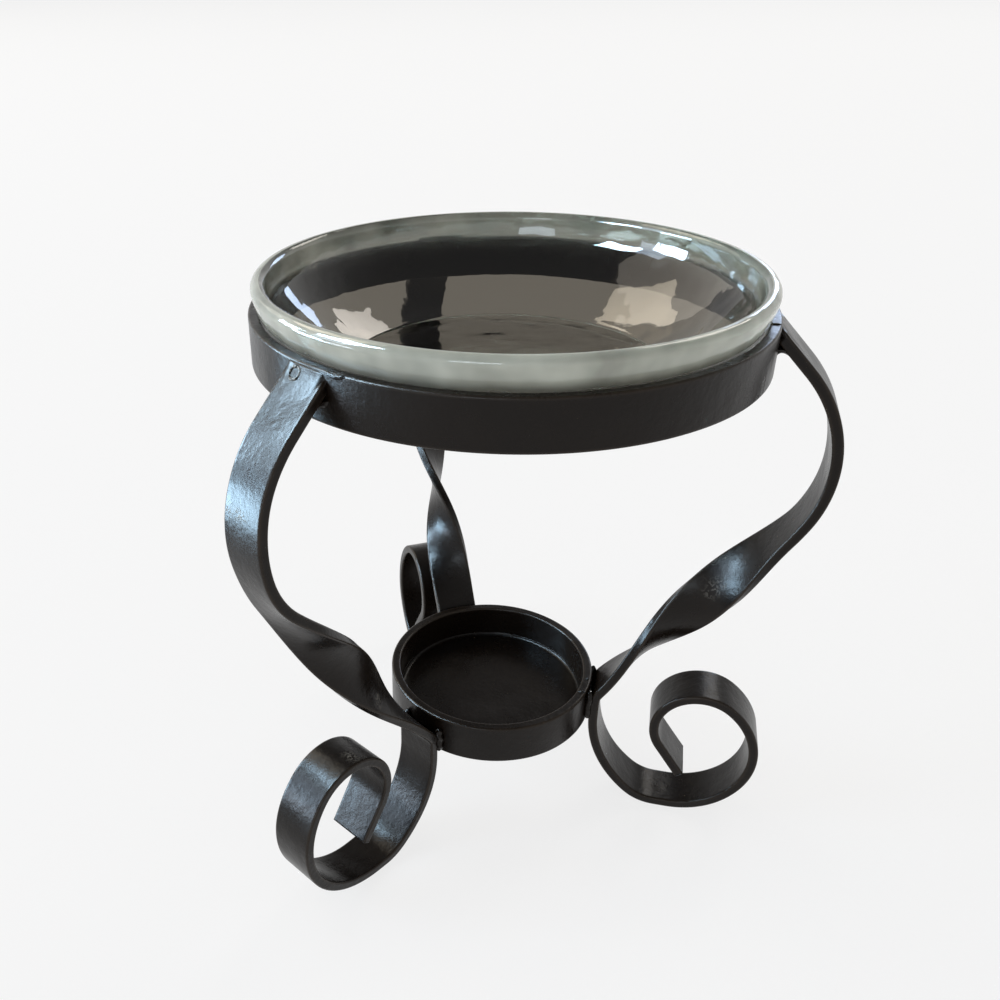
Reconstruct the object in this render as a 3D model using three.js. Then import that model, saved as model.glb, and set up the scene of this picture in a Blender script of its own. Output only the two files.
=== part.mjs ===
// Oil warmer: a stand of bent flat steel with three scrolled legs, a candle cup and a loose glass dish.
// Millimetres, +Z up. The origin is the middle of the object's bounding box, on the surface it stands on.
import * as THREE from "three";

// Flat steel strip that the ring and the cup's wall are bent from, and the legs' slightly wider strip
const STRIP_WIDTH = 10;
const LEG_WIDTH = 10.5;
const STRIP_THICKNESS = 2.2;
const EDGE_CHAMFER = 0.4; // broken edge along the strip
const WELD_GAP = 0.3; // between a leg and the hoop it is welded to

// Top ring that carries the dish. It is welded on by hand and leans a little, with the dish in it.
const RING_OUTER_RADIUS = 52;
const RING_TOP = 127.9; // top edge on its high side
const RING_TILT = 1.4; // degrees
const RING_LOW_SIDE = 75.6; // degrees round the stand

// Candle cup: a hoop with a disc let into it
const CUP_OUTER_RADIUS = 24.75;
const CUP_BELOW_SEAT = 1.7; // the wall reaches this far below the legs' straight seats
const CUP_FLOOR_THICKNESS = 1.5;
const CUP_FLOOR_GAP = 0.3; // round the disc, inside the hoop

// Leg, from the ring down: arm, bow, twisted run, knee, seat against the cup, scroll foot
const ARM_BELOW_RING_TOP = 3.8; // where the middle of the arm's slanted end meets the ring's wall
const ARM_SLOPE = 46; // degrees below level
const ARM_LENGTH = 8.7;
const BOW_RADIUS = 29.2;
const TWIST = 180; // degrees, mostly over the run
const TWIST_LEAD = 4.7; // the twist starts this far before the run
const TWIST_TRAIL = 2.3; // and ends this far past it
const KNEE_RADIUS = 3;
const SEAT_LENGTH = 4.8; // straight stretch against the cup's wall
const SCROLL_ENTRY_RADIUS = 28.6;
const SCROLL_ENTRY_ANGLE = 50.7; // degrees
const SCROLL_HEEL_RADIUS = 10.3;
const FOOT_FLAT = 3; // small flat under the scroll that the stand rests on
const SCROLL_OUTER_RADIUS = 18;
const SCROLL_OUTER_ANGLE = 143; // degrees
const SCROLL_INNER_RADIUS = 10.2;
const SCROLL_INNER_ANGLE = 162; // degrees
const SCROLL_END_LENGTH = 10; // straight end inside the scroll

// The legs are bent by hand: where each stands, in degrees round the stand, and what it has more or less
const LEGS = {
  leg_front_right: { atRing: -30.4, atFoot: -29.3 },
  leg_front_left: {
    atRing: -152, atFoot: -149.6, armSlope: -2, armLength: 0.8, bow: -1.1, lead: 6.5,
    entry: -4.8, entryAngle: 7.6, outer: 1.6, outerAngle: -10, inner: 0.5, innerAngle: 9,
  },
  leg_back: { atRing: 88.4, atFoot: 90.9, below: 0.6 },
};

// Glass dish, hanging in the ring by its sloped wall
const DISH_RIM_REACH = 1.3; // rim's edge outside the ring's inner edge
const DISH_RIM_RISE = 6.1; // rim above the ring's top edge
const DISH_RIM_WIDTH = 3.2;
const DISH_BASE_RADIUS = 34;
const DISH_DEPTH_BELOW_RING = 16.5; // underside of the base below the ring's top edge
const DISH_FLOOR_THICKNESS = 3;
const DISH_WALL = 2.6;
const DISH_WALL_BELLY = 1.6; // the wall bulges this far out of the straight line from base to ring
const DISH_LIP_RADIUS = 1.5;
const DISH_GAP = 0.3; // between the dish's wall and the ring's inner edge

// Facet sizes
const RING_SEGMENTS = 144;
const CUP_SEGMENTS = 96;
const DISH_SEGMENTS = 96;
const BEND_STEP = 6; // degrees of bend or twist in one facet

const rad = THREE.MathUtils.degToRad;
const UP = new THREE.Vector3(0, 0, 1);

// Heights and radii that follow from the sizes above
const seatHeight = (entryRadius, entryAngle) => entryRadius * Math.sin(rad(entryAngle))
  + SCROLL_HEEL_RADIUS * (1 - Math.sin(rad(entryAngle))) + STRIP_THICKNESS / 2;
const cupBottom = seatHeight(SCROLL_ENTRY_RADIUS, SCROLL_ENTRY_ANGLE) - CUP_BELOW_SEAT;
const cupTop = cupBottom + STRIP_WIDTH;
const cupInner = CUP_OUTER_RADIUS - STRIP_THICKNESS;
const ringInner = RING_OUTER_RADIUS - STRIP_THICKNESS;
const ringBottom = RING_TOP - STRIP_WIDTH;
const armRadius = RING_OUTER_RADIUS + WELD_GAP;
const seatRadius = CUP_OUTER_RADIUS + WELD_GAP + STRIP_THICKNESS / 2;

const paintedSteel = () => new THREE.MeshStandardMaterial({
  color: 0x2e2a27, roughness: 0.45, metalness: 0.5,
});
const glass = () => new THREE.MeshStandardMaterial({
  color: 0xd5ddd8, roughness: 0.06, metalness: 0, transparent: true, opacity: 0.35,
});

// Points along a bent strip, in the plane (r, z). Each piece is a length and the angle it turns through.
function bendStrip(start, pieces) {
  const stations = [{ ...start, along: 0 }];
  for (const { length, turn = 0, steps = Math.max(1, Math.ceil(Math.abs(turn) / BEND_STEP)) } of pieces) {
    const from = stations[stations.length - 1];
    for (let k = 1; k <= steps; k += 1) {
      const share = k / steps;
      const turned = rad(turn) * share;
      const chord = turn === 0 ? length * share : (2 * length * Math.sin(turned / 2)) / rad(turn);
      const heading = rad(from.heading) + turned / 2;
      stations.push({
        r: from.r + chord * Math.cos(heading),
        z: from.z + chord * Math.sin(heading),
        heading: from.heading + turn * share,
        along: from.along + length * share,
      });
    }
  }
  return stations;
}

const arc = (radius, turn) => ({ length: radius * rad(Math.abs(turn)), turn });

// The run is the straight line that touches both the bow's circle and the knee's circle.
function legStations(leg) {
  const more = (size, key) => size + (leg[key] ?? 0);
  const bow = more(BOW_RADIUS, "bow");
  const entryRadius = more(SCROLL_ENTRY_RADIUS, "entry");
  const entryAngle = more(SCROLL_ENTRY_ANGLE, "entryAngle");
  const start = {
    r: armRadius,
    z: RING_TOP - more(ARM_BELOW_RING_TOP, "below"),
    heading: -more(ARM_SLOPE, "armSlope"),
  };
  const arm = { length: more(ARM_LENGTH, "armLength") };
  const bowStart = bendStrip(start, [arm]).pop();
  const inward = rad(bowStart.heading - 90);
  const bowCentre = new THREE.Vector2(
    bowStart.r + bow * Math.cos(inward),
    bowStart.z + bow * Math.sin(inward),
  );
  const seatTop = seatHeight(entryRadius, entryAngle) + SEAT_LENGTH;
  const kneeCentre = new THREE.Vector2(seatRadius + KNEE_RADIUS, seatTop);
  const between = kneeCentre.clone().sub(bowCentre);
  const steeper = Math.asin((bow + KNEE_RADIUS) / between.length());
  const runHeading = THREE.MathUtils.radToDeg(Math.atan2(between.y, between.x) - steeper);
  const bend = arc(bow, runHeading - bowStart.heading);
  const run = { length: between.length() * Math.cos(steeper), steps: Math.ceil(TWIST / BEND_STEP) };
  const stations = bendStrip(start, [
    arm,
    bend,
    run,
    arc(KNEE_RADIUS, -90 - runHeading),
    { length: SEAT_LENGTH },
    arc(entryRadius, entryAngle),
    arc(SCROLL_HEEL_RADIUS, 90 - entryAngle),
    { length: FOOT_FLAT },
    arc(more(SCROLL_OUTER_RADIUS, "outer"), more(SCROLL_OUTER_ANGLE, "outerAngle")),
    arc(more(SCROLL_INNER_RADIUS, "inner"), more(SCROLL_INNER_ANGLE, "innerAngle")),
    { length: SCROLL_END_LENGTH },
  ]);
  const runStart = arm.length + bend.length;
  const twistStart = runStart - more(TWIST_LEAD, "lead");
  const twistEnd = runStart + run.length + TWIST_TRAIL;
  for (const station of stations) {
    station.twist = TWIST * THREE.MathUtils.smoothstep(station.along, twistStart, twistEnd);
  }
  return stations;
}

// A leg strip's section, a rectangle with broken edges: x across its width, y through its thickness
function stripSection() {
  const w = LEG_WIDTH / 2;
  const t = STRIP_THICKNESS / 2;
  const c = EDGE_CHAMFER;
  return [
    [w - c, -t], [w, c - t], [w, t - c], [w - c, t],
    [c - w, t], [-w, t - c], [-w, c - t], [c - w, -t],
  ].map(([x, y]) => new THREE.Vector2(x, y));
}

// A straight strip with one step for each station, then bent and twisted onto the stations. Its upper end
// is cut to lie along the ring's wall.
function makeLeg(leg) {
  const stations = legStations(leg);
  const steps = stations.length - 1;
  const geometry = new THREE.ExtrudeGeometry(new THREE.Shape(stripSection()), {
    depth: steps, steps, bevelEnabled: false,
  });
  const position = geometry.attributes.position;
  const point = new THREE.Vector3();
  for (let i = 0; i < position.count; i += 1) {
    const step = Math.round(position.getZ(i));
    const { r, z, heading, twist } = stations[step];
    const turn = rad(twist);
    const h = rad(heading);
    const across = position.getX(i) * Math.cos(turn) + position.getY(i) * Math.sin(turn);
    const out = position.getY(i) * Math.cos(turn) - position.getX(i) * Math.sin(turn);
    point.set(r - out * Math.sin(h), across, z + out * Math.cos(h));
    if (step === 0) point.set(armRadius, across, point.z + (armRadius - point.x) * Math.tan(h));
    const up = THREE.MathUtils.smoothstep(point.z, cupTop, ringBottom);
    point.applyAxisAngle(UP, rad(THREE.MathUtils.lerp(leg.atFoot, leg.atRing, up)));
    position.setXYZ(i, point.x, point.y, point.z);
  }
  geometry.computeVertexNormals();
  return geometry;
}

// A strip bent into a closed hoop, standing on edge
function makeHoop(outer, bottom, segments) {
  const inner = outer - STRIP_THICKNESS;
  const top = bottom + STRIP_WIDTH;
  const c = EDGE_CHAMFER;
  const profile = [
    [inner + c, bottom], [outer - c, bottom], [outer, bottom + c], [outer, top - c],
    [outer - c, top], [inner + c, top], [inner, top - c], [inner, bottom + c], [inner + c, bottom],
  ].map(([r, z]) => new THREE.Vector2(r, z));
  return new THREE.LatheGeometry(profile, segments).rotateX(Math.PI / 2);
}

function makeCupFloor() {
  const r = cupInner - CUP_FLOOR_GAP;
  const top = cupBottom + CUP_FLOOR_THICKNESS;
  const profile = [
    [0, cupBottom], [r, cupBottom], [r, top], [0, top],
  ].map(([x, z]) => new THREE.Vector2(x, z));
  return new THREE.LatheGeometry(profile, CUP_SEGMENTS).rotateX(Math.PI / 2);
}

// The ring and the dish in it lean as one, about the height where the legs meet the ring. The ring's top
// edge keeps its height on the high side.
const lean = (geometry) => geometry
  .translate(0, 0, ARM_BELOW_RING_TOP - RING_TOP)
  .rotateY(rad(RING_TILT))
  .translate(0, 0, RING_TOP - ARM_BELOW_RING_TOP - RING_OUTER_RADIUS * Math.sin(rad(RING_TILT)))
  .rotateZ(rad(RING_LOW_SIDE));

// Half of the dish's section: base, bellied wall up to where it hangs in the ring, and a rounded lip. At the
// ring the wall stands in by more than the gap, since it is the slant distance that counts.
function makeDish() {
  const base = RING_TOP - DISH_DEPTH_BELOW_RING;
  const floor = base + DISH_FLOOR_THICKNESS;
  const lipHeight = RING_TOP + DISH_RIM_RISE - DISH_LIP_RADIUS;
  const rimRadius = ringInner + DISH_RIM_REACH;
  const hang = ringInner + EDGE_CHAMFER - 1.7 * DISH_GAP;
  const footOutside = new THREE.Vector2(DISH_BASE_RADIUS, base);
  const footInside = new THREE.Vector2(DISH_BASE_RADIUS - DISH_WALL / 2, floor);
  const hangOutside = new THREE.Vector2(hang, RING_TOP);
  const hangInside = new THREE.Vector2(hang - DISH_WALL, RING_TOP);
  const belly = (foot, top) => {
    const chord = top.clone().sub(foot).normalize();
    const out = new THREE.Vector2(chord.y, -chord.x);
    return foot.clone().lerp(top, 0.5).addScaledVector(out, 2 * DISH_WALL_BELLY);
  };
  const section = new THREE.Path();
  section.moveTo(0, base);
  section.lineTo(footOutside.x, footOutside.y);
  section.quadraticCurveTo(...belly(footOutside, hangOutside).toArray(), ...hangOutside.toArray());
  section.lineTo(rimRadius, lipHeight);
  section.absarc(rimRadius - DISH_LIP_RADIUS, lipHeight, DISH_LIP_RADIUS, 0, Math.PI / 2);
  const innerLip = rimRadius - DISH_RIM_WIDTH + DISH_LIP_RADIUS;
  section.absarc(innerLip, lipHeight, DISH_LIP_RADIUS, Math.PI / 2, Math.PI);
  section.lineTo(hangInside.x, hangInside.y);
  section.quadraticCurveTo(...belly(footInside, hangInside).toArray(), ...footInside.toArray());
  section.lineTo(0, floor);
  return new THREE.LatheGeometry(section.getPoints(6), DISH_SEGMENTS).rotateX(Math.PI / 2);
}

const assembly = new THREE.Group();
function add(name, geometry, material) {
  const mesh = new THREE.Mesh(geometry, material);
  mesh.name = name;
  assembly.add(mesh);
}

add("top_ring", lean(makeHoop(RING_OUTER_RADIUS, ringBottom, RING_SEGMENTS)), paintedSteel());
add("cup_wall", makeHoop(CUP_OUTER_RADIUS, cupBottom, CUP_SEGMENTS), paintedSteel());
add("cup_floor", makeCupFloor(), paintedSteel());
for (const [name, leg] of Object.entries(LEGS)) add(name, makeLeg(leg), paintedSteel());
add("glass_dish", lean(makeDish()), glass());

// Put the origin under the middle of the bounding box
assembly.updateMatrixWorld(true);
const box = new THREE.Box3().setFromObject(assembly, true);
const middle = box.getCenter(new THREE.Vector3());
assembly.position.set(-middle.x, -middle.y, -box.min.z);

const oilWarmer = new THREE.Group();
oilWarmer.name = "oil_warmer";
oilWarmer.add(assembly);

export default oilWarmer;
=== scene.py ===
import bmesh
import bpy
import numpy as np
from mathutils import Euler, Matrix, Vector


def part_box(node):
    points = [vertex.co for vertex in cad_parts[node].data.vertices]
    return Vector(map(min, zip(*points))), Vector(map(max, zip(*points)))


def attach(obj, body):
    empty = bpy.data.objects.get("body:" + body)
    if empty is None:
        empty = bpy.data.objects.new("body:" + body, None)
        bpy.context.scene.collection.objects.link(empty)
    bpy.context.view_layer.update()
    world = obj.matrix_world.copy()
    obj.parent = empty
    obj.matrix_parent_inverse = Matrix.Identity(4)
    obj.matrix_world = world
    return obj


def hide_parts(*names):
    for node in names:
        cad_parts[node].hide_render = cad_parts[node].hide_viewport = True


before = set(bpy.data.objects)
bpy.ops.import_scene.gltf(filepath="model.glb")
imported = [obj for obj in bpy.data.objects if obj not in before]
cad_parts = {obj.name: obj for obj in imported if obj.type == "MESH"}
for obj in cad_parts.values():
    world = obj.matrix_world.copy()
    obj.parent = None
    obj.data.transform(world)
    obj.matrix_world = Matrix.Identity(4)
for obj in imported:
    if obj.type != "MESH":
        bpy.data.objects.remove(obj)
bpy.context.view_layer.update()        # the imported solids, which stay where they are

MM = 0.001

# The cup stands on the upright axis that the legs are set out from.
cup_low, cup_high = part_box("cup_wall")
AXIS = np.array([(cup_low.x + cup_high.x) / 2, (cup_low.y + cup_high.y) / 2, 0.0])

# Sizes in millimetres and angles in degrees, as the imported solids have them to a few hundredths
STRIP_WIDTH = 10.0
LEG_WIDTH = 10.5
STRIP_THICKNESS = 2.2
STRIP_CORNER = 0.45
WELD_GAP = 0.3
RING_OUTER = 52.0
RING_TOP = 127.9
RING_BOTTOM = RING_TOP - STRIP_WIDTH
RING_TILT = 1.4
RING_LOW_SIDE = 75.6
ARM_HEIGHT = RING_TOP - 3.8
CUP_OUTER = 24.75
CUP_BOTTOM = 23.861
CUP_TOP = CUP_BOTTOM + STRIP_WIDTH
CUP_FLOOR_TOP = CUP_BOTTOM + 1.5

# The dish's sizes before it leans. It hangs in the ring by its wall, and the first size is the wall's radius
# at the ring's top.
DISH_HANG = 49.66
DISH_BASE = RING_TOP - 16.5
DISH_FLOOR = DISH_BASE + 3.0
DISH_RIM = 51.1
DISH_RIM_RISE = 6.1
DISH_LIP = 1.5

# Stations stand this far apart along a leg, and its path is worked out in steps this many times finer.
STATION_GAP = 0.5
FINER_STEPS = 5

# Where each leg stands, in degrees round the axis, and what its hand bending made different from the others
LEGS = {
    "leg_front_right": dict(at_ring=-30.4, at_foot=-29.3),
    "leg_front_left": dict(
        at_ring=-152.0, at_foot=-149.6, slope=44.0, arm=9.5, bow=28.1, lead=11.2, entry=23.8,
        entry_angle=58.3, outer=19.6, outer_angle=133.0, inner=10.7, inner_angle=171.0,
    ),
    "leg_back": dict(at_ring=88.4, at_foot=90.9, below=0.6),
}

# Scuffed spots on the paint: x, y and z from the axis and how far each reaches, in millimetres
SCUFFS = np.array([
    (-61.9, -28.6, 103.7, 1.5), (-60.0, -31.9, 104.1, 1.0), (40.8, -23.8, 63.0, 0.8),
    (41.9, -24.3, 64.7, 1.0), (43.0, -24.8, 66.4, 0.8), (-41.8, -27.8, 38.4, 1.2), (-34.4, -22.5, 48.5, 0.7),
])


# Curves and turns

def smoothstep(x, low, high):
    """0 up to `low`, 1 from `high` on, and 3 u^2 - 2 u^3 between them, with u the share of the way"""
    u = np.clip((x - low) / (high - low), 0, 1)
    return u * u * (3 - 2 * u)


def unit(degrees):
    """The unit vector (cos, sin) of an angle"""
    return np.array([np.cos(np.radians(degrees)), np.sin(np.radians(degrees))])


def bend(radius, turn):
    """A bend as its length along the strip, radius times turn in radians, and its turn in degrees"""
    return radius * np.radians(abs(turn)), turn


def bezier(a, b, c, count):
    """Quadratic curve: (1-t)^2 a + 2 t (1-t) b + t^2 c"""
    a, b, c = (np.array(point, float) for point in (a, b, c))
    t = np.linspace(0, 1, count)[:, None]
    return (1 - t) ** 2 * a + 2 * t * (1 - t) * b + t ** 2 * c


def bellied(a, b, belly, count):
    """Quadratic curve from a to b that bulges outwards by `belly` mm at its middle"""
    a, b = np.array(a, float), np.array(b, float)
    along = (b - a) / np.hypot(*(b - a))
    outwards = np.array([along[1], -along[0]]) * np.sign(along[1])
    return bezier(a, (a + b) / 2 + 2 * belly * outwards, b, count)


def corner_arc(centre, radius, start, end, count):
    """Points on a circle from one angle to another, in degrees: centre + radius (cos a, sin a)"""
    a = np.radians(np.linspace(start, end, count))
    return np.array(centre) + radius * np.stack([np.cos(a), np.sin(a)], -1)


def eased(values, window, step):
    """Running mean over `window` millimetres, which turns a sudden change into a soft one"""
    count = max(1, int(round(window / step)))
    padded = np.pad(values, (count // 2, count - 1 - count // 2), mode="edge")
    return np.convolve(padded, np.full(count, 1 / count), "valid")


def round_axis(points, azimuth):
    """Points (r, across, z) turned about the upright axis by an angle in degrees:
    x = r cos - across sin, y = r sin + across cos."""
    c, s = unit(azimuth)
    x, y, z = points[..., 0], points[..., 1], points[..., 2]
    return np.stack([x * c - y * s, x * s + y * c, z], -1)


def leaning(points):
    """The ring and the dish lean as one: turned by the tilt towards their low side, about the arms' height.

    x' = x cos t + z sin t and z' = z cos t - x sin t, with z from the arms' height, and then all of it is
    lowered by the ring's radius times sin t, so that its high side keeps its height.
    """
    tilt = np.radians(RING_TILT)
    x, y, z = points[..., 0], points[..., 1], points[..., 2] - ARM_HEIGHT
    leaned = np.stack([x * np.cos(tilt) + z * np.sin(tilt), y, z * np.cos(tilt) - x * np.sin(tilt)], -1)
    leaned[..., 2] += ARM_HEIGHT - RING_OUTER * np.sin(tilt)
    return round_axis(leaned, RING_LOW_SIDE)


def on_wall(radius, azimuth, height):
    """A place on a round part, from its radius, its angle in degrees and its height: (r cos a, r sin a, z)"""
    return radius * np.cos(np.radians(azimuth)), radius * np.sin(np.radians(azimuth)), height


def on_ring(radius, azimuth, height):
    """The same on the ring, with its height given before the ring leans"""
    return leaning(np.array(on_wall(radius, azimuth - RING_LOW_SIDE, height)))


def revolved(profile, segments, sway=0.0):
    """A closed profile of (r, z) turned about the axis: P[i, j] = (r_j cos a_i, r_j sin a_i, z_j).

    `sway` is how far, in mm, a hand-bent hoop strays in and out and up and down, in a few slow waves of the
    angle a: sin(2a + 1) + 0.6 sin 3a + 0.3 sin 8a outwards, and 0.7 sin 2a + 0.3 sin(5a + 2) upwards.
    """
    angle = np.linspace(0, 2 * np.pi, segments, endpoint=False)[:, None]
    outwards = np.sin(2 * angle + 1) + 0.6 * np.sin(3 * angle) + 0.3 * np.sin(8 * angle)
    upwards = 0.7 * np.sin(2 * angle) + 0.3 * np.sin(5 * angle + 2)
    r = profile[None, :, 0] + sway * outwards
    z = profile[None, :, 1] + sway * upwards
    return np.stack([r * np.cos(angle), r * np.sin(angle), z], -1)


# The strip, and what is bent from it

def strip_section(width, inset=0.0):
    """The strip's section, x across its width and y through its thickness: a rectangle with round corners.

    Corner k is its centre plus c (cos a, sin a), with c the corner's radius and a from 90 k to 90 k + 90
    degrees. Every side has points close to its corners, which keep its middle flat in the shading. `inset`
    shrinks it all round.
    """
    half = np.array([width / 2 - inset, STRIP_THICKNESS / 2 - inset])
    c = STRIP_CORNER - inset
    quarter = np.arange(4)[:, None]
    angle = (quarter + np.linspace(0, 1, 5)[None, :]) * np.pi / 2
    sign = np.array([[1, 1], [-1, 1], [-1, -1], [1, -1]])
    centre = sign * (half - c)
    corner = centre[:, None, :] + c * np.stack([np.cos(angle), np.sin(angle)], -1)
    share = np.array([0.03, 0.25, 0.5, 0.75, 0.97])[None, :, None]
    side = corner[:, -1:, :] * (1 - share) + np.roll(corner[:, :1, :], -1, axis=0) * share
    return np.concatenate([corner, side], axis=1).reshape(-1, 2)


def painted_edge_sheen(width):
    """How pale the paint is at each point of the section, a painted highlight where the edges catch the
    light:
    1 on its corners, falling evenly to 0 at 0.6 mm
    """
    pale_edge = 0.6
    reach = np.array([width / 2, STRIP_THICKNESS / 2]) - np.abs(strip_section(width))
    return {"painted_edge_sheen": np.clip(1 - np.hypot(reach[:, 0], reach[:, 1]) / pale_edge, 0, 1)}


def hoop_profile(outer, bottom):
    """The strip's section standing on edge: its thickness lies along r and its width along z."""
    section = strip_section(STRIP_WIDTH)
    middle = np.array([outer - STRIP_THICKNESS / 2, bottom + STRIP_WIDTH / 2])
    return section[:, ::-1] + middle


def leg_path(below=0.0, slope=46.0, arm=8.7, bow=29.2, knee=3.0, seat=4.8, entry=28.6, entry_angle=50.7,
             heel=10.3, foot=3.0, outer=18.0, outer_angle=143.0, inner=10.2, inner_angle=162.0, end=10.0,
             lead=4.7, trail=2.3):
    """Stations along one bent leg: radius r, height z, heading and twist in radians.

    The heading is a running total of straights and arcs: arm, bow, twisted run, knee, seat and the arcs of
    the scroll. The run is the straight line that touches both the bow's circle and the knee's. Position is
    the running sum of (cos heading, sin heading), with the bends eased over 1.6 mm. The half turn of twist is
    a smooth step from `lead` before the run to `trail` past it.
    """
    soft = 1.6
    half = STRIP_THICKNESS / 2
    rise = np.sin(np.radians(entry_angle))
    seat_bottom = entry * rise + heel * (1 - rise) + half
    start = np.array([RING_OUTER + WELD_GAP, ARM_HEIGHT - below])
    bow_centre = start + arm * unit(-slope) + bow * unit(-slope - 90)
    knee_centre = np.array([CUP_OUTER + WELD_GAP + half + knee, seat_bottom + seat])
    between = knee_centre - bow_centre
    distance = np.hypot(*between)
    steeper = np.arcsin((bow + knee) / distance)
    run = np.degrees(np.arctan2(between[1], between[0]) - steeper)
    pieces = np.array([
        (arm, 0), bend(bow, run + slope), (distance * np.cos(steeper), 0), bend(knee, -90 - run), (seat, 0),
        bend(entry, entry_angle), bend(heel, 90 - entry_angle), (foot, 0), bend(outer, outer_angle),
        bend(inner, inner_angle), (end, 0),
    ])
    ends = np.vstack([np.zeros(2), np.cumsum(pieces, axis=0)])
    length, run_start, run_end = ends[-1, 0], ends[2, 0], ends[3, 0]
    count = int(round(length / (STATION_GAP / FINER_STEPS)))
    along = np.linspace(0, length, count + 1)
    step = along[1]
    heading = np.radians(eased(np.interp(along, ends[:, 0], -slope + ends[:, 1]), soft, step))
    middle = (heading[1:] + heading[:-1]) / 2
    r = start[0] + np.concatenate([[0], np.cumsum(np.cos(middle) * step)])
    z = start[1] + np.concatenate([[0], np.cumsum(np.sin(middle) * step)])
    twist = np.pi * smoothstep(along, run_start - lead, run_end + trail)
    keep = np.unique(np.append(np.arange(0, count + 1, FINER_STEPS), count))
    return r[keep], z[keep], heading[keep], twist[keep]


def leg_grid(path, at_ring, at_foot, phase):
    """The strip's section carried along the path: point = station + across T + out N.

    T is the leg plane's normal and N = (-sin heading, 0, cos heading). The twist w mixes them:
    across = x cos w + y sin w, out = y cos w - x sin w. The section swells and shrinks by about 1 % along the
    path, in two sine waves, as hand-drawn strip does. The upper end is cut along the ring's wall and runs
    into it. The lower end rounds off over 0.3 mm. Both ends close in one point. The azimuth changes smoothly
    with height, from the cup to the ring.
    """
    round_off = 0.3
    into_wall = 0.4
    lip = np.radians([0, 30, 60, 90])
    stations = np.zeros(len(path[0]))
    inset = np.concatenate([[0.0], stations, round_off * (1 - np.cos(lip)), [0.0]])
    slide = np.concatenate([[0.0], stations, -round_off * (1 - np.sin(lip)), [0.0]])[:, None]
    sections = np.stack([strip_section(LEG_WIDTH, amount) for amount in inset])
    sections[[0, -1]] = 0.0
    r, z, h, w = (np.concatenate([a[:1], a, np.full(len(lip) + 1, a[-1])])[:, None] for a in path)
    along = np.arange(len(r))[:, None] * STATION_GAP
    swell = 1 + 0.010 * np.sin(along / 7.3 + phase) + 0.006 * np.sin(along / 3.1 + 2 * phase)
    x, y = sections[..., 0] * swell, sections[..., 1]
    across = x * np.cos(w) + y * np.sin(w)
    out = y * np.cos(w) - x * np.sin(w)
    radius = r - out * np.sin(h) + slide * np.cos(h)
    height = z + out * np.cos(h) + slide * np.sin(h)
    wall = RING_OUTER - into_wall
    height[:2] += (wall - radius[:2]) * np.tan(h[:2])
    radius[:2] = wall
    local = np.stack([radius, across, height], -1)
    return round_axis(local, at_foot + (at_ring - at_foot) * smoothstep(height, CUP_TOP, RING_BOTTOM))


def cup_floor_profile():
    """Disc with a fillet of paint and weld metal up the hoop's wall, as (r, z) from the axis and back to it.

    The fillet is a quarter circle: (edge - f + f sin a, top + f - f cos a), with f its radius.
    """
    edge = CUP_OUTER - STRIP_THICKNESS
    f = 0.9
    a = np.radians(np.linspace(0, 90, 7))
    fillet = np.stack([edge - f + f * np.sin(a), CUP_FLOOR_TOP + f - f * np.cos(a)], -1)
    top = np.stack([np.linspace(0, edge - 1.0, 12), np.full(12, CUP_FLOOR_TOP)], -1)
    under = np.array([
        [edge, CUP_BOTTOM + 0.2], [edge - 0.3, CUP_BOTTOM], [edge - 1, CUP_BOTTOM], [0, CUP_BOTTOM],
    ])
    return np.concatenate([top, fillet, under])


# The pressed dish

def dish_profile():
    """(r, z) from the centre of the base, over the wall and the rounded lip, and down to the floor's centre.

    The wall bulges a little up to the ring's edge, and the rim curves on from it, out over the edge. The
    second value is how milky each point looks: 1 on the outside of the rim, fading to nothing 4 mm below the
    ring's top, and a little on the corner of the base, where it is a painted highlight that shows as a thin
    bright circle.
    """
    foot = 33.3
    floor_edge = 32.9
    heel_radius = 0.9
    lip_height = RING_TOP + DISH_RIM_RISE - DISH_LIP
    inside_top = np.array([47.1, RING_TOP])
    base = np.stack([np.linspace(0, foot - 0.1, 14), np.full(14, DISH_BASE)], -1)
    heel = corner_arc((foot, DISH_BASE + heel_radius), heel_radius, -80, -35, 5)
    outside = bellied((foot + 1.0, DISH_BASE + 0.6), (DISH_HANG, RING_TOP), 1.55, 34)
    rim = bezier((DISH_HANG, RING_TOP), (50.6, RING_TOP + 1.6), (DISH_RIM, lip_height), 12)[1:-1]
    lip = corner_arc((DISH_RIM - DISH_LIP, lip_height), DISH_LIP, 0, 172, 15)
    rim_inside = bezier((DISH_RIM - 2 * DISH_LIP, lip_height - 0.2), (47.9, RING_TOP + 2), inside_top, 8)[:-1]
    inside = bellied((floor_edge, DISH_FLOOR + 0.35), inside_top, 1.4, 34)[::-1]
    turn = bezier((floor_edge - 0.3, DISH_FLOOR + 0.12), (floor_edge - 0.7, DISH_FLOOR),
                  (floor_edge - 1.3, DISH_FLOOR), 6)
    floor = np.stack([np.linspace(floor_edge - 1.9, 0, 14), np.full(14, DISH_FLOOR)], -1)
    points = np.concatenate([base, heel, outside, rim, lip, rim_inside, inside, turn, floor])
    outer_lip_points = 9
    outer_points = len(base) + len(heel) + len(outside) + len(rim) + outer_lip_points
    strength = np.where(np.arange(len(points)) < outer_points, 1.0, 0.10)
    milky_and_painted_glint = smoothstep(points[:, 1], RING_TOP - 4, RING_TOP + 3) * strength
    # Painted highlight: the corner of the base is made milky so that it shows as a thin bright circle.
    milky_and_painted_glint[len(base) + 1:len(base) + len(heel)] = 0.9
    return points, milky_and_painted_glint


# Weld metal

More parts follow.
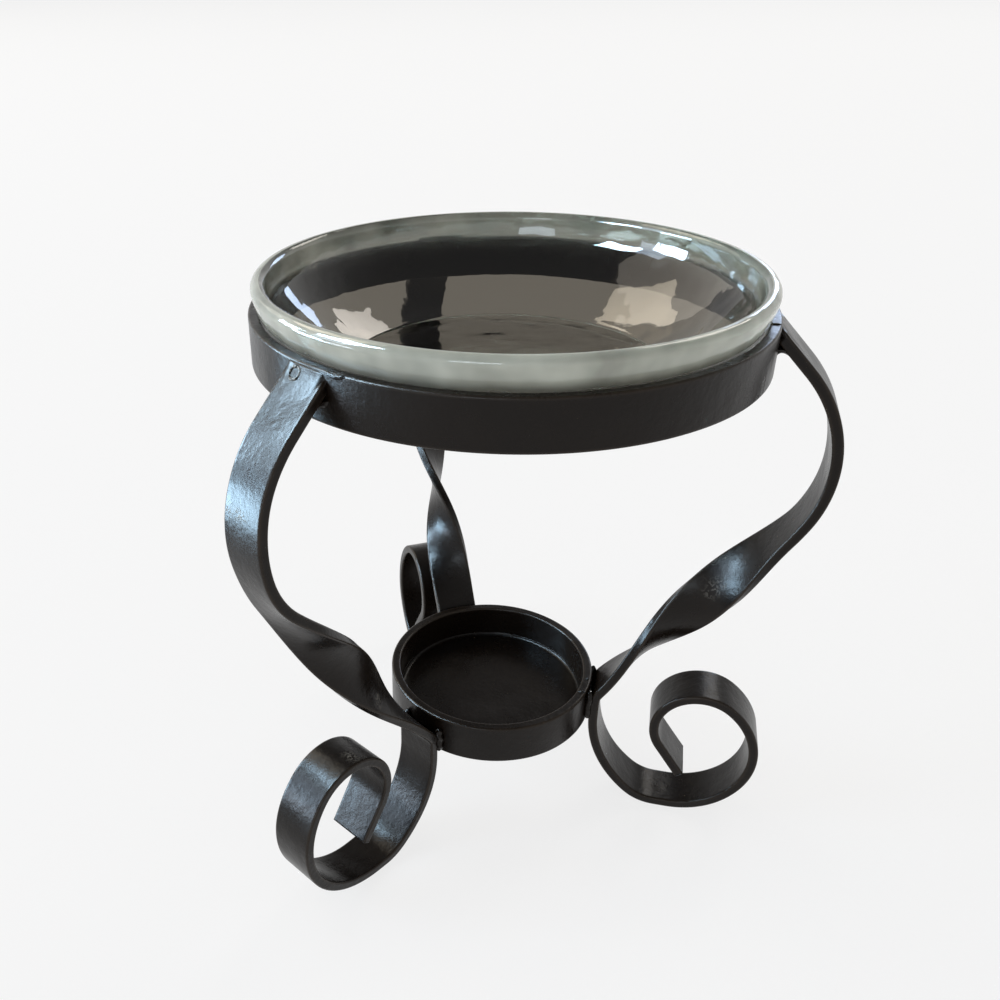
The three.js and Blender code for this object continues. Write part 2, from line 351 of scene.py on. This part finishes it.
def bead(centres, radius, seed):
    """A weld bead: circles of varying radius about a line of centres, with the ripples that each dab leaves.

    With s the share of the bead's length, the circle's radius is
    radius * sqrt(1 - (2 s - 1)^4) * (1 + ripple * |sin(pi s length / pitch)|) * (1 + small random lumps).
    """
    stations, around = 32, 20
    ripple, pitch = 0.14, 1.1
    centres = np.asarray(centres, float)
    length = np.concatenate([[0], np.cumsum(np.linalg.norm(np.diff(centres, axis=0), axis=1))])
    s = (1 - np.cos(np.linspace(0, np.pi, stations))) / 2
    line = np.stack([np.interp(s * length[-1], length, centres[:, k]) for k in range(3)], -1)
    tangent = np.gradient(line, axis=0)
    tangent /= np.linalg.norm(tangent, axis=1)[:, None] + 1e-12
    first = np.cross(tangent, [0.3, 0.5, 0.8])
    first /= np.linalg.norm(first, axis=1)[:, None]
    second = np.cross(tangent, first)
    chance = np.random.default_rng(seed)
    angle = np.linspace(0, 2 * np.pi, around, endpoint=False)
    lumps = sum(
        chance.normal(0, 0.07) * np.cos(k * angle[None, :] + chance.uniform(0, 6) + 9 * k * s[:, None])
        for k in (1, 2, 3)
    )
    swell = radius * np.sqrt(np.clip(1 - (2 * s - 1) ** 4, 0, 1))
    swell = swell * (1 + ripple * np.abs(np.sin(np.pi * s * length[-1] / pitch)))
    size = swell[:, None] * (1 + lumps)
    circle = np.cos(angle)[:, None] * first[:, None, :] + np.sin(angle)[:, None] * second[:, None, :]
    return line[:, None, :] + size[..., None] * circle


def weld_pad(azimuth, half, face, hidden, seed, flare):
    """Weld metal laid over the corner between the ring's wall and a leg's strip, 2 x `half` wide.

    In the leg's plane its face is the quadratic curve through three points (r, z), and its hidden side is
    another one, inside the metal. Across the strip, at u from -1 to 1, the face falls to the hidden side as
    1 - u^8, with small random lumps. Its width grows by `flare` towards the wall, and within 4 mm of the wall
    it follows the wall's curve, sqrt(R^2 - t^2).
    """
    across, down, near_wall = 49, 16, 4.0
    u = np.sin(np.linspace(-np.pi / 2, np.pi / 2, across))[:, None]
    v = np.linspace(0, 1, down)[None, :]
    chance = np.random.default_rng(seed)
    lumps = sum(
        chance.normal(0, 0.03) * np.cos(k * 1.7 * u + chance.uniform(0, 6)) * np.sin(np.pi * v * m)
        for k in (1, 2) for m in (1, 2)
    )
    share = ((1 - np.abs(u) ** 8) * (1 + lumps))[..., None]
    face, hidden = bezier(*face, down)[None], bezier(*hidden, down)[None]
    top = hidden + (face - hidden) * share
    loop = np.concatenate([top, np.broadcast_to(hidden, top.shape)[:, ::-1]], axis=1)
    width = half * (1 + flare * (1 - v) ** 2)
    t = u * np.concatenate([width, width[:, ::-1]], axis=1)
    near = np.clip(1 - (loop[..., 0] - RING_OUTER) / near_wall, 0, 1)
    r = loop[..., 0] - (RING_OUTER - np.sqrt(RING_OUTER ** 2 - t ** 2)) * near
    return round_axis(np.stack([r, t, loop[..., 1]], -1), azimuth)


def spot_weld(azimuth, place, normal, radius, rim):
    """The low rim round a spot weld's pit, in the leg's own axes:

    P = place + (radius + rim cos b) E(a) + rim sin b n, with E(a) the circle across the normal n. The rim
    swells and shrinks round the pit as 1 + 0.25 sin(2a + 1) + 0.15 sin 5a.
    """
    n = np.array(normal, float)
    n /= np.linalg.norm(n)
    first = np.cross(n, [0, 1, 0])
    first /= np.linalg.norm(first)
    second = np.cross(n, first)
    a = np.linspace(0, 2 * np.pi, 48, endpoint=False)[:, None, None]
    b = np.linspace(0, 2 * np.pi, 16, endpoint=False)[None, :, None]
    rim = rim * (1 + 0.25 * np.sin(2 * a + 1) + 0.15 * np.sin(5 * a))
    out = (radius + rim * np.cos(b)) * (np.cos(a) * first + np.sin(a) * second)
    return round_axis(np.array(place, float) + out + rim * np.sin(b) * n, azimuth)


# Materials

def linear(hex_colour):
    """sRGB hex to linear red, green and blue, with alpha 1.

    A channel c is divided by 12.92 up to 0.04045, and is ((c + 0.055) / 1.055)^2.4 above that.
    """
    channel = np.array([int(hex_colour[k:k + 2], 16) for k in (1, 3, 5)]) / 255
    return tuple(np.where(channel <= 0.04045, channel / 12.92, ((channel + 0.055) / 1.055) ** 2.4)) + (1.0,)


def add_node(tree, kind, settings=None, inputs=None):
    """Adds one node, with its settings, and with its inputs given as values or as sockets to link."""
    node = tree.nodes.new(kind)
    for key, value in (settings or {}).items():
        setattr(node, key, value)
    for key, value in (inputs or {}).items():
        if isinstance(value, bpy.types.NodeSocket):
            tree.links.new(value, node.inputs[key])
        else:
            node.inputs[key].default_value = value
    return node


def new_material(name):
    """An empty material and its node tree"""
    material = bpy.data.materials.new(name)
    material.use_nodes = True
    material.node_tree.nodes.clear()
    return material, material.node_tree


def lumps_across(size_mm, place, detail, roughness):
    """What a noise pattern is given so that its lumps are about `size_mm` across: 1000 / size to the metre"""
    return {"Vector": place, "Scale": 1000.0 / size_mm, "Detail": detail, "Roughness": roughness}


def painted_mild_steel():
    """Satin black-brown paint over cold-bent mild steel: dark, with a soft gloss broken up by orange peel."""
    material, tree = new_material("satin_paint_on_mild_steel")
    place = add_node(tree, "ShaderNodeTexCoord").outputs["Object"]
    # Colour drifts over about 12 mm, where the paint went on thicker or thinner.
    drift = add_node(tree, "ShaderNodeTexNoise", None, lumps_across(12.0, place, 4.0, 0.6)).outputs["Fac"]
    # Specks of dust under the paint, and an orange peel of about 1.5 mm over dents of about 7 mm
    speck = add_node(tree, "ShaderNodeTexNoise", None, lumps_across(0.6, place, 2.0, 0.5)).outputs["Fac"]
    peel = add_node(tree, "ShaderNodeTexNoise", None, lumps_across(1.5, place, 2.0, 0.5)).outputs["Fac"]
    dents = add_node(tree, "ShaderNodeTexNoise", None, lumps_across(7.0, place, 1.0, 0.4)).outputs["Fac"]
    colour = add_node(tree, "ShaderNodeMix", {"data_type": "RGBA"}, {
        "Factor": drift, "A": linear("#0d0805"), "B": linear("#19110a"),
    }).outputs["Result"]
    # The paint is paler along the strip's edges, more in some places than in others: a painted highlight
    # where the edges catch the light.
    edge = add_node(tree, "ShaderNodeAttribute", {"attribute_name": "painted_edge_sheen"}).outputs["Fac"]
    pale_edge = add_node(tree, "ShaderNodeMath", {"operation": "MULTIPLY"}, {0: edge, 1: drift}).outputs["Value"]
    colour = add_node(tree, "ShaderNodeMix", {"data_type": "RGBA"}, {
        "Factor": pale_edge, "A": colour, "B": linear("#4a4036"),
    }).outputs["Result"]
    # Scuffs have broken up into flakes of about 0.6 mm, paler and rougher than the paint. The spot weld's rim
    # takes the same pale flecks as a painted highlight.
    scuff_and_painted_glint = add_node(tree, "ShaderNodeAttribute", {"attribute_name": "scuff_and_painted_glint"}).outputs["Fac"]
    pale_fleck = add_node(tree, "ShaderNodeMapRange", None, {
        "Value": speck, "From Min": 0.48, "From Max": 0.60, "To Min": 0.0, "To Max": 0.9,
    }).outputs["Result"]
    pale_fleck = add_node(tree, "ShaderNodeMath", {"operation": "MULTIPLY"}, {0: scuff_and_painted_glint, 1: pale_fleck}).outputs["Value"]
    colour = add_node(tree, "ShaderNodeMix", {"data_type": "RGBA"}, {
        "Factor": pale_fleck, "A": colour, "B": linear("#8b877e"),
    }).outputs["Result"]
    # The gloss varies with the paint's thickness, and the pale flecks take 0.3 more roughness.
    rough = add_node(tree, "ShaderNodeMapRange", None, {
        "Value": drift, "From Min": 0.3, "From Max": 0.7, "To Min": 0.23, "To Max": 0.34,
    }).outputs["Result"]
    rough = add_node(tree, "ShaderNodeMath", {"operation": "MULTIPLY_ADD"}, {
        0: pale_fleck, 1: 0.3, 2: rough,
    }).outputs["Value"]
    normal = None
    for height, strength, depth in ((speck, 0.12, 0.0002), (peel, 0.35, 0.0002), (dents, 0.35, 0.0005)):
        inputs = {"Height": height, "Strength": strength, "Distance": depth}
        if normal:
            inputs["Normal"] = normal
        normal = add_node(tree, "ShaderNodeBump", None, inputs).outputs["Normal"]
    shader = add_node(tree, "ShaderNodeBsdfPrincipled", None, {
        "Base Color": colour, "Roughness": rough, "Normal": normal, "IOR": 1.5, "Specular IOR Level": 0.19,
    })
    add_node(tree, "ShaderNodeOutputMaterial", None, {"Surface": shader.outputs["BSDF"]})
    return material


def pressed_clear_glass():
    """Pressed soda-lime glass: grey in its thickness, as painted shade for dark surroundings seen through it,
    and glossy, with slow waves from the mould.

    Its thick rim scatters light inside and looks milky from the outside.
    """
    material, tree = new_material("pressed_soda_lime_glass")
    place = add_node(tree, "ShaderNodeTexCoord").outputs["Object"]
    # The rim's milkiness, which also carries a painted highlight on the corner of the base
    rim = add_node(tree, "ShaderNodeAttribute", {"attribute_name": "milky_rim_and_painted_glint"}).outputs["Fac"]
    # Waves of about 9 mm from the mould, and a finer unevenness of about 3 mm
    waves = add_node(tree, "ShaderNodeTexNoise", None, lumps_across(9.0, place, 1.5, 0.45)).outputs["Fac"]
    finer = add_node(tree, "ShaderNodeTexNoise", None, lumps_across(3.0, place, 1.0, 0.4)).outputs["Fac"]
    normal = None
    for height, strength, depth in ((waves, 0.35, 0.0010), (finer, 0.10, 0.0004)):
        inputs = {"Height": height, "Strength": strength, "Distance": depth}
        if normal:
            inputs["Normal"] = normal
        normal = add_node(tree, "ShaderNodeBump", None, inputs).outputs["Normal"]
    # The milkiness comes in soft patches of about 9 mm.
    patches = add_node(tree, "ShaderNodeTexNoise", None, lumps_across(9.0, place, 2.0, 0.5)).outputs["Fac"]
    patches = add_node(tree, "ShaderNodeMapRange", None, {
        "Value": patches, "From Min": 0.3, "From Max": 0.7, "To Min": 0.52, "To Max": 0.92,
    }).outputs["Result"]
    milky_and_painted_glint = add_node(tree, "ShaderNodeMath", {"operation": "MULTIPLY"}, {0: rim, 1: patches}).outputs["Value"]
    clear = add_node(tree, "ShaderNodeMath", {"operation": "SUBTRACT"}, {0: 1.0, 1: milky_and_painted_glint}).outputs["Value"]
    # Grey where the glass is clear is painted shade, for dark surroundings seen through it. Pale where it is
    # milky, which on the corner of the base is a painted highlight.
    colour = add_node(tree, "ShaderNodeMix", {"data_type": "RGBA"}, {
        "Factor": rim, "A": linear("#69645b"), "B": linear("#cdd1c4"),
    }).outputs["Result"]
    shader = add_node(tree, "ShaderNodeBsdfPrincipled", None, {
        "Base Color": colour, "Roughness": 0.04, "IOR": 1.52, "Transmission Weight": clear, "Normal": normal,
    })
    add_node(tree, "ShaderNodeOutputMaterial", None, {"Surface": shader.outputs["BSDF"]})
    return material


def seen_directly(tree):
    """1 for a ray that comes from the camera, off a shiny surface or through glass, and 0 for any other"""
    path = add_node(tree, "ShaderNodeLightPath")
    seen = path.outputs["Is Camera Ray"]
    for name in ("Is Glossy Ray", "Is Transmission Ray"):
        either = {0: seen, 1: path.outputs[name]}
        seen = add_node(tree, "ShaderNodeMath", {"operation": "MAXIMUM"}, either).outputs["Value"]
    return seen


def white_studio_floor():
    """Matt white paper: most of its look is its own white, the rest the light and shadow that fall on it."""
    own_white = 0.78
    material, tree = new_material("matt_white_paper_floor")
    paper = add_node(tree, "ShaderNodeBsdfDiffuse", None, {"Color": linear("#f3f3f3")}).outputs["BSDF"]
    white = add_node(tree, "ShaderNodeEmission", None, {"Strength": 1.0}).outputs["Emission"]
    part = {0: seen_directly(tree), 1: own_white}
    share = add_node(tree, "ShaderNodeMath", {"operation": "MULTIPLY"}, part).outputs["Value"]
    mixed = add_node(tree, "ShaderNodeMixShader", None, {0: share, 1: paper, 2: white}).outputs["Shader"]
    add_node(tree, "ShaderNodeOutputMaterial", None, {"Surface": mixed})
    return material


# The object's own pieces

STEEL = painted_mild_steel()
GLASS = pressed_clear_glass()


def make_piece(name, grid, material, replaces=None, body="stand", around=False,
               marks=None):
    """A closed mesh over the points P[i, j], in millimetres about the axis of the round parts.

    Each cell P[i, j] P[i+1, j] P[i+1, j+1] P[i, j+1] is one quad. j always runs round a closed loop, and i
    runs round one too if `around` is set. Points that fall together, as at a pole, are merged. `marks` gives
    an attribute's value at each point, for the material, and the scuffed spots are added to them: each is
    exp(-d^2), with d the distance over the spot's reach.
    """
    rows, columns = grid.shape[:2]
    i = np.arange(rows if around else rows - 1)[:, None]
    j = np.arange(columns)[None, :]
    below, beside = (i + 1) % rows, (j + 1) % columns
    corners = [i * columns + j, below * columns + j, below * columns + beside, i * columns + beside]
    quads = np.stack([np.broadcast_to(corner, (len(i), columns)) for corner in corners], -1).reshape(-1, 4)
    points = grid.reshape(-1, 3)
    mesh = bpy.data.meshes.new(name)
    mesh.from_pydata((points * MM + AXIS).tolist(), [], quads.tolist())
    marks = {key: np.broadcast_to(value, (rows, columns)).ravel() for key, value in (marks or {}).items()}
    if body == "stand":
        away = np.linalg.norm(points[:, None] - SCUFFS[None, :, :3], axis=2) / SCUFFS[None, :, 3]
        marks["scuff_and_painted_glint"] = np.maximum(marks.get("scuff_and_painted_glint", 0.0), np.exp(-away ** 2).max(axis=1))
    for key, value in marks.items():
        mesh.attributes.new(key, "FLOAT", "POINT").data.foreach_set("value", value.astype(np.float32))
    shape = bmesh.new()
    shape.from_mesh(mesh)
    bmesh.ops.remove_doubles(shape, verts=shape.verts, dist=1e-7)
    bmesh.ops.recalc_face_normals(shape, faces=shape.faces)
    for face in shape.faces:
        face.smooth = True
    shape.to_mesh(mesh)
    shape.free()
    mesh.materials.append(material)
    piece = bpy.data.objects.new(name, mesh)
    bpy.context.scene.collection.objects.link(piece)
    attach(piece, body)
    if replaces:
        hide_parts(replaces)


for number, (leg, shape) in enumerate(LEGS.items()):
    bends = {key: value for key, value in shape.items() if not key.startswith("at_")}
    strip = leg_grid(leg_path(**bends), shape["at_ring"], shape["at_foot"], phase=1.9 * number)
    make_piece(leg + "_strip", strip, STEEL, replaces=leg, marks=painted_edge_sheen(LEG_WIDTH))

ring_hoop = leaning(revolved(hoop_profile(RING_OUTER, RING_BOTTOM), segments=360, sway=0.06))
make_piece("top_ring_hoop", ring_hoop, STEEL, replaces="top_ring", around=True, marks=painted_edge_sheen(STRIP_WIDTH))

cup_hoop = revolved(hoop_profile(CUP_OUTER, CUP_BOTTOM), segments=240, sway=0.05)
make_piece("cup_hoop", cup_hoop, STEEL, replaces="cup_wall", around=True, marks=painted_edge_sheen(STRIP_WIDTH))

cup_floor = revolved(cup_floor_profile(), segments=180)
make_piece("cup_floor_disc", cup_floor, STEEL, replaces="cup_floor", around=True)

profile, milky_rim_and_painted_glint = dish_profile()
dish = leaning(revolved(profile, segments=288))
make_piece("glass_dish_pressed", dish, GLASS, replaces="glass_dish", body="dish",
           around=True, marks={"milky_rim_and_painted_glint": milky_rim_and_painted_glint})

# Each leg has metal laid over and under its joint with the ring, as three points (r, z) of its face and of
# its hidden side, and a bead down both sides of its seat, from one height to another.
PAD_OVER = {
    "leg_front_right": [(51.95, 126.2), (54.4, 123.75), (58.6, 119.12)],
    "leg_front_left": [(51.95, 127.1), (53.4, 124.58), (57.6, 120.46)],
    "leg_back": [(51.95, 125.1), (54.4, 123.15), (58.6, 118.52)],
}
PAD_OVER_HIDDEN = [(51.4, 126.6), (52.4, 124.4), (57.0, 119.7)]
PAD_UNDER = [(51.95, 120.4), (52.7, 121.8), (54.7, 119.9)]
PAD_UNDER_HIDDEN = [(51.5, 121.4), (52.0, 123.2), (54.8, 121.0)]
SEAT_BEADS = {"leg_front_right": (25.0, 33.2), "leg_front_left": (24.4, 31.0), "leg_back": (25.0, 32.6)}
HALF_LEG = LEG_WIDTH / 2
for number, leg in enumerate(LEGS):
    at_ring, at_foot = LEGS[leg]["at_ring"], LEGS[leg]["at_foot"]
    drop = np.array([0, LEGS[leg].get("below", 0.0)])
    hidden = np.array(PAD_OVER_HIDDEN) - drop
    over = weld_pad(at_ring, HALF_LEG - 0.05, PAD_OVER[leg], hidden, seed=11 + number, flare=0.06)
    face, hidden = np.array(PAD_UNDER) - drop, np.array(PAD_UNDER_HIDDEN) - drop
    under = weld_pad(at_ring, HALF_LEG - 0.1, face, hidden, seed=21 + number, flare=0.22)
    make_piece(leg + "_weld_over", over, STEEL)
    make_piece(leg + "_weld_under", under, STEEL)
    low, high = SEAT_BEADS[leg]
    for side, word in ((-1, "left"), (1, "right")):
        line = [(24.75, side * 5.2, low), (24.65, side * 5.2, (low + high) / 2), (24.85, side * 5.0, high)]
        seat_bead = round_axis(bead(line, radius=0.85, seed=31 + 2 * number + side), at_foot)
        make_piece(leg + "_seat_bead_" + word, seat_bead, STEEL)

at_ring = LEGS["leg_front_left"]["at_ring"]
pit_rim = spot_weld(at_ring, place=(52.95, -1.75, 125.6), normal=(0.79, 0, 0.61), radius=1.2, rim=0.26)
# The pale flecks on the spot weld's rim are a painted highlight, the bright ring that the pit's rim catches.
make_piece("spot_weld_rim", pit_rim, STEEL, marks={"scuff_and_painted_glint": 1.5})

# Places on round parts where weld metal stands proud: name, radius of the bead, and its line of centres
LUMPS = {
    "ring_top_lumps": (0.42, [
        on_ring(51.7, -146.6, 127.5), on_ring(51.9, -144.0, 127.3), on_ring(51.7, -141.2, 127.6),
    ]),
    "ring_seam_weld": (0.45, [
        on_ring(49.9, -37.5, 127.6), on_ring(51.0, -37.0, 127.75), on_ring(52.0, -36.6, 127.2),
    ]),
    "cup_seam_weld": (0.42, [
        on_wall(22.9, -44.8, 33.5), on_wall(23.8, -44.5, 33.75), on_wall(24.6, -44.3, 33.3),
    ]),
    "cup_seam_drop": (0.36, [on_wall(23.5, -32.8, 33.7), on_wall(24.0, -31.8, 33.7)]),
    "cup_wall_drop": (0.55, [on_wall(24.8, -38.4, 27.2), on_wall(24.8, -37.6, 28.0)]),
}
for number, (name, (radius, centres)) in enumerate(LUMPS.items()):
    make_piece(name, bead(centres, radius, seed=51 + number), STEEL)

# Stage, light and camera

FLOOR_REACH = 8  # metres each way
floor_mesh = bpy.data.meshes.new("studio_floor")
floor_corners = [(x * FLOOR_REACH, y * FLOOR_REACH, 0) for x, y in ((-1, -1), (1, -1), (1, 1), (-1, 1))]
floor_mesh.from_pydata(floor_corners, [], [(0, 1, 2, 3)])
floor_mesh.materials.append(white_studio_floor())
floor = bpy.data.objects.new("studio_floor", floor_mesh)
bpy.context.scene.collection.objects.link(floor)

# In millimetres: the point that a lamp faces, and how far from it the lamp stands, unless it says otherwise
MIDDLE = (0, 0, 70)
FAR = 3200


def soft_lamp(name, azimuth, elevation, wide, tall, radiance, hex_colour, aim=MIDDLE, distance=FAR,
              shine_only=False):
    """A rectangular lamp that faces the point `aim`, `wide` by `tall` degrees as seen from there.

    Its side is 2 d tan(angle / 2), and its power follows from the radiance: W = pi * area * radiance. One
    that is for shine only shows in paint and glass, as a bright pane, and adds no light to matt surfaces.
    """
    distance = distance * MM
    width, height = (2 * distance * np.tan(np.radians(angle) / 2) for angle in (wide, tall))
    data = bpy.data.lights.new(name, "AREA")
    data.shape = "RECTANGLE"
    data.size, data.size_y = width, height
    data.color = linear(hex_colour)[:3]
    data.energy = np.pi * width * height * radiance
    lamp = bpy.data.objects.new(name, data)
    lamp.visible_camera = False
    lamp.visible_diffuse = not shine_only
    a, e = np.radians(azimuth), np.radians(elevation)
    out = np.array([np.cos(a) * np.cos(e), np.sin(a) * np.cos(e), np.sin(e)])
    side = np.array([-np.sin(a), np.cos(a), 0.0])
    place = np.eye(4)
    place[:3, 0], place[:3, 1], place[:3, 2] = side, np.cross(out, side), out
    place[:3, 3] = AXIS + np.array(aim) * MM + distance * out
    lamp.matrix_world = Matrix(place.tolist())
    bpy.context.scene.collection.objects.link(lamp)


# Azimuth and elevation, width and height, all in degrees, then radiance and colour
LAMPS = {
    "window_lamp": (170, 22, 20, 30, 7.0, "#d6e9ff"),
    "wall_lamp": (135, 35, 50, 40, 1.5, "#fff6e8"),
    "right_lamp": (40, 38, 18, 16, 5.0, "#fff8ee"),
}
# Panes for shine only, where the photograph's highlights come from. The near ones also have the point that
# they face and their distance from it, in millimetres.
PANES = {
    "wall_shine": (120, 48, 26, 22, 4.0, "#fff1d8"),
    "front_rim_shine": (-124, 16, 18, 14, 6.0, "#e6f4ff"),
    "left_bow_shine": (158, -9, 20, 17, 48.0, "#bfe4ff", (-60, -30, 108), 300),
    "left_scroll_shine": (176, 5, 14, 12, 13.0, "#e0eeff", (-55, -31, 32), 300),
    "right_twist_shine": (173, 38, 16, 16, 72.0, "#c4e6ff", (46, -28, 70), 260),
    "back_leg_shine": (165, 18, 18, 18, 52.0, "#c4e6ff", (0, 56, 85), 260),
    "dish_streak_shine": (43, 14, 12, 14, 8.0, "#c8deff", (-41, 20, 124), 900),
}
for name, lamp in LAMPS.items():
    soft_lamp(name, *lamp)
for name, pane in PANES.items():
    soft_lamp(name, *pane, shine_only=True)


def pale_room():
    """White all round: at full strength up to the level, falling to a quarter from 49 degrees up"""
    world = bpy.data.worlds.new("studio")
    world.use_nodes = True
    tree = world.node_tree
    tree.nodes.clear()
    direction = add_node(tree, "ShaderNodeTexCoord").outputs["Generated"]
    height = add_node(tree, "ShaderNodeSeparateXYZ", None, {"Vector": direction}).outputs["Z"]
    level = add_node(tree, "ShaderNodeMapRange", {"interpolation_type": "SMOOTHSTEP"}, {
        "Value": height, "From Min": 0.02, "From Max": 0.75, "To Min": 1.0, "To Max": 0.25,
    }).outputs["Result"]
    glow = add_node(tree, "ShaderNodeBackground", None, {"Color": linear("#ffffff"), "Strength": level})
    add_node(tree, "ShaderNodeOutputWorld", None, {"Surface": glow.outputs["Background"]})
    return world


bpy.context.scene.world = pale_room()

# The photograph's camera, fitted to the ring, the cup and the dish: its place in millimetres, and how far it
# is turned from looking straight down, in degrees, about x, then y, then z
CAMERA_PLACE = Vector((-70.3209, -190.709, 191.031))
CAMERA_TURNS = (58.193, 1.217, -14.377)
camera_data = bpy.data.cameras.new("camera")
camera_data.sensor_width = 36.0
camera_data.lens = 35.8008
camera_data.shift_x = 0.11693
camera_data.shift_y = 0.03975
camera_data.clip_start = 0.01
camera = bpy.data.objects.new("camera", camera_data)
turns = Euler([np.radians(angle) for angle in CAMERA_TURNS], "XYZ")
camera.matrix_world = Matrix.LocRotScale(CAMERA_PLACE * MM, turns, None)
bpy.context.scene.collection.objects.link(camera)
bpy.context.scene.camera = camera
bpy.context.scene.view_settings.view_transform = "Standard"
